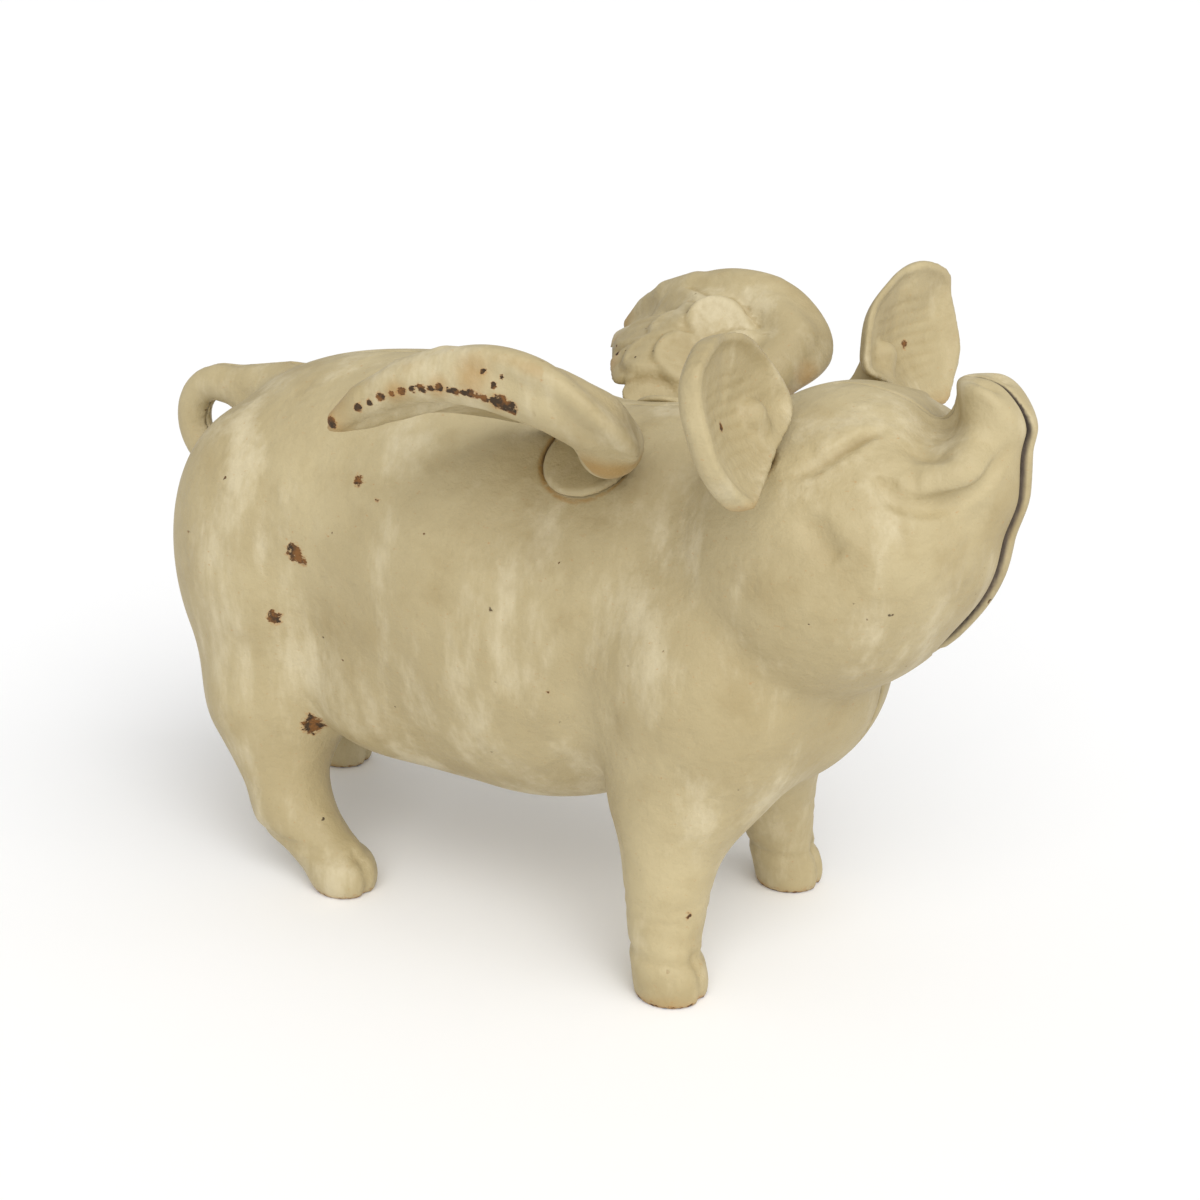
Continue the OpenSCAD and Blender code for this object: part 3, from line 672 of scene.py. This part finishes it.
# ---- materials ----
class Tree:
    """Short way to write a node tree."""

    def __init__(self, name):
        self.mat = bpy.data.materials.new(name)
        self.mat.use_nodes = True
        self.nodes, self.links = self.mat.node_tree.nodes, self.mat.node_tree.links
        self.nodes.clear()
        self.shader = self.nodes.new("ShaderNodeBsdfPrincipled")
        out = self.nodes.new("ShaderNodeOutputMaterial")
        self.links.new(self.shader.outputs[0], out.inputs[0])
        self.object = self.nodes.new("ShaderNodeTexCoord").outputs["Object"]

    def put(self, socket, value):
        if hasattr(value, "is_output"):
            self.links.new(value, socket)
        else:
            socket.default_value = value

    def math(self, op, a, b):
        n = self.nodes.new("ShaderNodeMath")
        n.operation = op
        self.put(n.inputs[0], a)
        self.put(n.inputs[1], b)
        return n.outputs[0]

    def times(self, a, b):
        return self.math("MULTIPLY", a, b)

    def plus(self, a, b):
        return self.math("ADD", a, b)

    def swing(self, v, amount):
        """A noise of 0 to 1 turned into one of plus and minus half the amount."""
        return self.times(self.math("SUBTRACT", v, 0.5), amount)

    def step(self, v, lo, hi):
        n = self.nodes.new("ShaderNodeMapRange")
        n.interpolation_type = "SMOOTHSTEP"
        self.put(n.inputs["Value"], v)
        n.inputs["From Min"].default_value, n.inputs["From Max"].default_value = lo, hi
        return n.outputs["Result"]

    def noise(self, scale, detail=4, rough=0.55, stretch=None, warp=0.0):
        vec = self.object
        if stretch:
            m = self.nodes.new("ShaderNodeMapping")
            m.inputs["Scale"].default_value = stretch
            self.links.new(vec, m.inputs["Vector"])
            vec = m.outputs[0]
        n = self.nodes.new("ShaderNodeTexNoise")
        self.links.new(vec, n.inputs["Vector"])
        n.inputs["Scale"].default_value, n.inputs["Detail"].default_value = scale, detail
        n.inputs["Roughness"].default_value, n.inputs["Distortion"].default_value = rough, warp
        return n.outputs["Fac"]

    def attr(self, name):
        n = self.nodes.new("ShaderNodeAttribute")
        n.attribute_name = name
        return n.outputs["Fac"]

    def mix(self, fac, a, b):
        n = self.nodes.new("ShaderNodeMix")
        n.data_type = "RGBA"
        self.put(n.inputs["Factor"], fac)
        self.put(n.inputs["A"], a)
        self.put(n.inputs["B"], b)
        return n.outputs["Result"]

    def bump(self, height, depth, normal=None):
        n = self.nodes.new("ShaderNodeBump")
        n.inputs["Strength"].default_value = 1.0
        n.inputs["Distance"].default_value = depth
        self.put(n.inputs["Height"], height)
        if normal is not None:
            self.links.new(normal, n.inputs["Normal"])
        return n.outputs[0]


def rgb(r, g, b):
    """A colour given as on the screen, 0 to 255, and none of the three below 11."""
    return tuple(((c / 255 + 0.055) / 1.055) ** 2.4 for c in (r, g, b)) + (1.0,)


IVORY, CREAM, CHALK = rgb(169, 153, 114), rgb(185, 170, 131), rgb(207, 195, 163)
TAN, OCHRE = rgb(150, 130, 86), rgb(164, 124, 60)
RUST, DARK, ORANGE, UMBER = rgb(120, 78, 32), rgb(58, 42, 22), rgb(170, 112, 48), rgb(118, 98, 60)
IRON, IRON_DARK, ZINC, ZINC_DARK = rgb(92, 80, 68), rgb(52, 44, 38), rgb(176, 172, 160), rgb(150, 148, 142)


def painted(name, speckle, seed):
    """Old ivory paint on cast iron: patchy, sandy, brown with painted shade in the hollows and the joint,
    chipped to rust.
    """
    t = Tree(name)
    patch = t.noise(16 + seed, 5, 0.6, warp=0.4)
    cloud = t.noise(45 + seed, 4, 0.6)
    grain = t.noise(1300, 2, 0.6)
    fine = t.noise(420, 3, 0.6)
    brush = t.noise(60, 5, 0.65, stretch=(1, 1, 0.35))
    col = t.mix(t.step(patch, 0.35, 0.68), IVORY, CREAM)
    col = t.mix(t.times(t.step(brush, 0.47, 0.70), 0.65), col, CHALK)
    col = t.mix(t.times(t.step(cloud, 0.5, 0.74), 0.42), col, TAN)
    # painted shade: tan and umber darken the surface where it is hollow, in creases and between the raised
    # relief, with some grime
    hollows = t.times(t.plus(t.attr("bend"), t.swing(fine, 0.06)), -1.0)
    deep = t.math("MAXIMUM", t.step(hollows, 0.03, 0.30), t.times(t.attr("hole"), 0.9))
    col = t.mix(t.times(deep, 0.55), col, TAN)
    col = t.mix(t.times(t.step(hollows, 0.14, 0.5), 0.6), col, UMBER)
    # ochre stains, which round the wing and ear seats and low on the wings and ears are also painted shade
    stain = t.plus(t.attr("stain"), t.swing(cloud, 0.9))
    col = t.mix(t.times(t.step(stain, 0.35, 0.95), 0.75), col, OCHRE)
    col = t.mix(t.times(t.step(grain, 0.60, 0.80), 0.16), col, TAN)
    # chips: a ragged edge round the marked places, and scattered specks
    tatter = t.noise(620, 3, 0.7, stretch=(1, 1, 1.8))
    ragged = t.plus(t.attr("chip"), t.swing(tatter, 2.0))
    col = t.mix(t.times(t.step(ragged, 0.25, 0.55), 0.45), col, ORANGE)
    speck = t.times(t.step(t.noise(330 + seed, 2, 0.5), 0.735 - speckle, 0.765 - speckle),
                    t.step(t.noise(34, 3, 0.6), 0.46, 0.60))
    chip = t.math("MAXIMUM", t.step(ragged, 0.55, 0.68), speck)
    col = t.mix(chip, col, t.mix(t.step(fine, 0.40, 0.62), DARK, RUST))
    # dark dirt and painted shade in the open joint between the halves
    dirt = t.plus(t.attr("dirt"), t.swing(fine, 0.8))
    col = t.mix(t.times(t.step(dirt, 0.15, 0.75), 0.9), col, DARK)
    # unpainted iron inside
    bare = t.attr("bare")
    col = t.mix(bare, col, t.mix(t.step(cloud, 0.35, 0.65), IRON_DARK, IRON))
    t.put(t.shader.inputs["Base Color"], col)
    rough = t.plus(0.50, t.times(patch, 0.14))
    t.put(t.shader.inputs["Roughness"], t.plus(rough, t.times(t.math("MAXIMUM", chip, bare), 0.22)))
    t.shader.inputs["Specular IOR Level"].default_value = 0.42
    height = t.plus(t.times(grain, 0.35), t.times(fine, 0.65))
    height = t.plus(height, t.times(t.noise(110, 3, 0.5), 1.3))
    height = t.math("SUBTRACT", height, t.times(chip, 0.9))
    uneven = t.bump(t.noise(70, 3, 0.5), 0.0016)
    t.put(t.shader.inputs["Normal"], t.bump(height, 0.00034, uneven))
    return t.mat


def steel(name):
    """Zinc-plated screw steel, finely uneven, with a little rust."""
    t = Tree(name)
    cloud = t.noise(160, 4, 0.6)
    fine = t.noise(900, 3, 0.6)
    col = t.mix(t.step(cloud, 0.35, 0.7), ZINC_DARK, ZINC)
    rusty = t.step(t.noise(300, 4, 0.65), 0.60, 0.72)
    col = t.mix(t.times(rusty, 0.8), col, RUST)
    t.put(t.shader.inputs["Base Color"], col)
    t.put(t.shader.inputs["Metallic"], t.math("SUBTRACT", 0.9, t.times(rusty, 0.7)))
    t.put(t.shader.inputs["Roughness"], t.plus(0.34, t.times(cloud, 0.3)))
    t.put(t.shader.inputs["Normal"], t.bump(fine, 0.00006))
    return t.mat


BODY_PAINT, WING_PAINT, EAR_PAINT = (painted("body_paint", 0, 0), painted("wing_paint", 0.02, 3),
                                     painted("ear_paint", 0, 6))
STEEL = steel("steel")

# ---- the two halves ----
# places on each half's outer side where the paint is chipped: x, z and radius
BODY_CHIPS = {-1: [(-56, 99, 2.5), (-54, 97.5, 1.6), (-64, 80, 2.0), (-60, 47.5, 3.2), (-60.5, 44.5, 0.8),
                   (-60, 51, 0.8), (-37, 120, 1.4), (57, 24, 0.9), (-30, 116, 0.6), (20, 76, 0.6)],
              1: [(-57, 96, 2.0), (-40, 70, 1.5), (66, 92, 1.2), (-89, 60, 0.9)]}


def on_flank(x, z, r, side):
    """A spot of radius r on the half's outer side at x and z."""
    y = np.arange(60, 0, -0.25)
    inside = pig((np.full_like(y, x), y, np.full_like(y, z)), HIND_STEP if side > 0 else 0) < 0
    return x, side * y[np.argmax(inside)], z, r


def body_values(part, side):
    """The half with its chips and stains, the stains partly painted shade round the wing's and the ear's
    seats.
    """
    pts, faces, values = part
    ay, z = np.abs(pts[:, 1]), pts[:, 2]
    # bare patches on the soles' edges
    spots = [on_flank(*spot, side) for spot in BODY_CHIPS[side]]
    values["chip"] = np.maximum(chips(pts, spots), np.clip(1 - z / 2.2, 0, 1) * 0.62)
    # ochre stains round the seats, the soles and the joint with the other half; the rings round the wing's
    # and the ear's seats are also painted shade where those parts meet the body
    wing, ear = (np.sqrt(((pts * [1, side, 1] - seat) ** 2).sum(1)) for seat in (WING_SEAT, EAR_SEAT))
    values["stain"] = np.maximum.reduce([0.8 * bell(wing - DISC_R - 0.4, 0.9), 0.7 * bell(ear - 6, 2.5),
                                         0.55 * bell(z, 5), 0.35 * bell(ay, 1.6)])
    return pts, faces, values


def half_part(side):
    """One half with its values, and the pegs if it is the right one."""
    parts = [half_mesh(side)]
    if side < 0:
        for x, z in PEGS:
            peg = lathe([(PEG_R, -6), (PEG_R, 4.4), (PEG_R * 0.75, 5.0)], (x, 0, z), (0, 1, 0))
            parts.append((*peg, {"bare": np.ones(len(peg[0]))}))
    return body_values(joined(parts), side)


build("right_casting", half_part(-1), "right_body", "right_half", BODY_PAINT)
build("left_casting", half_part(1), "left_body", "left_half", BODY_PAINT)


# ---- wings and ears ----
def clear_of_body(pts, gap, which):
    """Pushes the chosen points out of the body until they stand off its skin by the gap."""
    out = pts.copy()
    v = out[which]

    def f(p):
        return pig((p[0], np.abs(p[1]), p[2]), 0) - gap

    for _ in range(3):
        low = f(tuple(v.T)) < 0
        v[low] = onto(v[low], f, 1)
    out[which] = v
    return out


def boss(seat, direction, r, h, spigot, bore, round_off=1.2):
    """Round boss on a spigot, in one turned body that starts at the bottom of its blind screw hole."""
    profile = [(bore, 8.0), (bore, -4.6), (spigot, -4.6), (spigot, 0.02), (r, 0.02), (r, h - round_off),
               (r - round_off * 0.4, h - round_off * 0.3), (r - round_off, h)]
    return (*lathe(profile, seat, direction, 64), {})


def wing_joints(v):
    """1 under the arm and round the root, where the wing's parts run into each other."""
    return (v[:, 0] > -12) * (v @ (0, 0.6, 0.8) > 121.5) * (v @ (0.1, 0.5, -0.85) > -104)


def ear_joints(v):
    """1 round the stem at the ear's foot, fading outwards."""
    return np.clip((11 - np.sqrt(((v - (67.5, 34, 143)) ** 2).sum(1))) / 4, 0, 1)


# the wing's thick leading edge, from the rounded end over the boss to the tip: point and radius
ARM = [((31, 31, 136), 7.4), ((37, 40, 139.5), 7.6), ((39, 50, 147), 7.2), ((31, 55, 152), 7.0),
       ((18, 57, 155), 6.8), ((6, 58.5, 155.5), 6.2), ((-4, 61, 153), 5.2), ((-13, 64.5, 148.5), 3.8),
       ((-19, 66, 143.5), 2.6)]
# rust on the right wing's arm: x, degrees above the horizontal round it, and radius
ARM_RUST = [(22, -19, 1.6), (23.5, -15, 1.8), (25, -20, 1.7), (25.5, -30, 1.0), (-19.5, -11, 1.6),
            (19, 28, 0.8), (21.5, 11, 0.8), (23.5, 33, 0.6)]
ARM_WASH = [(16, 18, 9), (8, -14, 5), (-3, -18, 5), (22, -19, 5)]
# a line of rust chips along its rolled edge, closer together towards the root
LINE_CHIPS, LINE_ANGLE, LINE_START, LINE_STEP, LINE_CLOSER = 15, -18, -12, 2.85, 0.045
# pits and washes on the left wing's upper face: x, y and radius
TOP_PITS = [(-4, 32, 0.9), (-7, 36.5, 0.4), (20, 62, 0.3)]
TOP_WASH = [(-11, 45, 5), (-6, 30, 6), (48, 42, 7), (-16, 56, 5)]


def on_arm(pts, x, angle, r):
    """A spot of radius r on the arm's outer side."""
    along, y, z, thick = np.array([(*c, q) for c, q in ARM[:1:-1]]).T
    out = np.interp(x, along, thick)
    spot = (x, np.interp(x, along, y) + out * math.cos(math.radians(angle)),
            np.interp(x, along, z) + out * math.sin(math.radians(angle)))
    return (*pts[np.argmin(((pts - spot) ** 2).sum(1))], r)


def on_top(pts, x, y, r):
    """A spot of radius r on the upper skin at x and y."""
    return (*pts[np.argmin(np.hypot(pts[:, 0] - x, pts[:, 1] - y) - 0.2 * pts[:, 2])], r)


def wing_spots(pts, side):
    """The chips and the ochre washes of one wing."""
    if side > 0:
        return [on_top(pts, *spot) for spot in TOP_PITS], [on_top(pts, *spot) for spot in TOP_WASH]
    line = [(LINE_START + LINE_STEP * i - LINE_CLOSER * i * i, LINE_ANGLE, (1.1, 0.8)[i % 2])
            for i in range(LINE_CHIPS)]
    return [on_arm(pts, *spot) for spot in line + ARM_RUST], [on_arm(pts, *spot) for spot in ARM_WASH]


EAR_CHIPS = [(70, 50, 150, 1.2)]
WING_CELL, EAR_CELL, OFF_SKIN = 0.55, 0.6, 0.5


def wing_part(side):
    """One wing, drawn on the left: the feathered leaf, its thick leading edge and its root disc."""
    wing = leaf(WING, WING_MID, WING_AXIS, dome=3, thick=4.4, rolls=WING_ROLL, roll=4, nr=44, na=252,
                relief=wing_relief, notches=NOTCHES, swell=0, belly=1.8, sharp=3.5)
    arm = [ball_limb(a, b, ra, rb) for (a, ra), (b, rb) in zip(ARM[:-1], ARM[1:])]
    disc = boss(WING_SEAT, WING_DIR, DISC_R, 2.0, 4.5, 2.05)
    pts, faces, values = fuse([wing, *arm, disc], WING_CELL, wing_joints, 26)
    pts = clear_of_body(pts, OFF_SKIN, (pts @ WING_DIR > np.dot(WING_SEAT, WING_DIR) + 0.6)
                        & (rod(tuple(pts.T), WING_SEAT, WING_DIR, DISC_R + 0.2, -9, 6) > 0))
    x, y, z = pts.T
    edge = np.clip((values["rim"] - 0.9) / 0.1, 0, 1)
    chipped, washed = wing_spots(pts, side)
    # ochre at the tip, at the foot, along the rolled edge and in washes; at the foot it is also painted shade
    # where the wing comes close to the body
    values["stain"] = np.maximum.reduce([0.75 * np.clip(1 - (x + 22) / 16, 0, 1),
                                         0.7 * np.clip(1 - (z - 136) / 8, 0, 1) * (x > 34),
                                         0.5 * edge * (values["turn"] < 7) * (values["turn"] > 2),
                                         0.75 * washes(pts, washed)])
    values["chip"] = chips(pts, chipped)
    values["bend"] = 0.25 * edge
    return pts, faces, values


def ear_part():
    """One ear, drawn on the left: the cupped leaf, its stem and its boss."""
    ear = leaf(EAR, EAR_MID, EAR_AXIS, dome=-7, thick=4.5, rolls=[0.3] * len(EAR), roll=1, nr=32, na=160,
               relief=ear_relief, notches=(), swell=5.0, belly=0, sharp=2.4)
    stem = ball_limb((68, 32, 141), (69, 36, 149), 5.4, 4.2)
    foot = boss(EAR_SEAT, EAR_DIR, 5.5, 7, 3.5, 1.8, 2.0)
    pts, faces, values = fuse([ear, stem, foot], EAR_CELL, ear_joints, 12)
    pts = clear_of_body(pts, OFF_SKIN, rod(tuple(pts.T), EAR_SEAT, EAR_DIR, 5.9, -9, 9) > 0)
    x, y, z = pts.T
    # ochre low on the ear, also painted shade where it comes close to the head
    values["stain"] = np.maximum(0.8 * np.clip(1 - (z - 135) / 7, 0, 1) * (x > 74), 0.6 * bell(z - 130, 5))
    values["chip"] = chips(pts, EAR_CHIPS)
    values["bend"] = 0.3 * np.clip((values["rim"] - 0.93) / 0.07, 0, 1)
    return pts, faces, values


for side, word in ((-1, "right"), (1, "left")):
    wing, ear = mirrored(wing_part(side), side), mirrored(ear_part(), side)
    build(word + "_wing_casting", wing, word + "_body", word + "_wing", WING_PAINT)
    build(word + "_ear_casting", ear, word + "_body", word + "_ear", EAR_PAINT)

for node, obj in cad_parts.items():
    if "screw" in node or "washer" in node:
        slots = obj.data.materials
        if not slots:
            slots.append(STEEL)
        for i in range(len(slots)):
            slots[i] = STEEL

# ---- stage, light and camera ----
FLOOR_HALF = 60                      # metres
FLOOR_A, FLOOR_B = (0.93, 0.93, 0.93, 1), (0.95, 0.95, 0.95, 1)
WORLD_LIGHT = 0.56
# name, direction it comes from, angle in degrees, strength
SUNS = (("key", (0.65, -0.95, 0.85), 60, 1.7), ("fill", (0.9, -0.2, 1.0), 50, 0.95))
AZIMUTH, ELEVATION, DISTANCE = math.radians(31.1), math.radians(20.7), 0.465
TARGET = Vector(((10 + SHIFT) * MM, 0, 0.076))
SENSOR, LENS, SHIFT_UP = 36, 53.5, 0.029

floor = bpy.data.objects.new("floor", bpy.data.meshes.new("floor"))
corners = [(x * FLOOR_HALF, y * FLOOR_HALF, 0) for x, y in ((-1, -1), (1, -1), (1, 1), (-1, 1))]
floor.data.from_pydata(corners, [], [(0, 1, 2, 3)])
bpy.context.scene.collection.objects.link(floor)
pale = Tree("pale_floor")
pale.put(pale.shader.inputs["Base Color"], pale.mix(pale.noise(3), FLOOR_A, FLOOR_B))
pale.shader.inputs["Roughness"].default_value = 0.9
floor.data.materials.append(pale.mat)

world = bpy.data.worlds.new("studio")
bpy.context.scene.world = world
world.use_nodes = True
background = world.node_tree.nodes["Background"]
background.inputs["Color"].default_value = (1, 1, 1, 1)
background.inputs["Strength"].default_value = WORLD_LIGHT

for name, place, angle, power in SUNS:
    light = bpy.data.lights.new(name, "SUN")
    light.angle, light.energy = math.radians(angle), power
    lamp = bpy.data.objects.new(name, light)
    lamp.location = place
    lamp.rotation_euler = Vector(place).to_track_quat("Z", "Y").to_euler()
    bpy.context.scene.collection.objects.link(lamp)

cam = bpy.data.cameras.new("camera")
cam.sensor_width, cam.lens, cam.shift_y = SENSOR, LENS, SHIFT_UP
camera = bpy.data.objects.new("camera", cam)
back = Vector((math.sin(AZIMUTH) * math.cos(ELEVATION), -math.cos(AZIMUTH) * math.cos(ELEVATION),
               math.sin(ELEVATION)))
camera.location = TARGET + back * DISTANCE
camera.rotation_euler = (-back).to_track_quat("-Z", "Y").to_euler()
bpy.context.scene.collection.objects.link(camera)
bpy.context.scene.camera = camera
bpy.context.scene.view_settings.view_transform = "Standard"
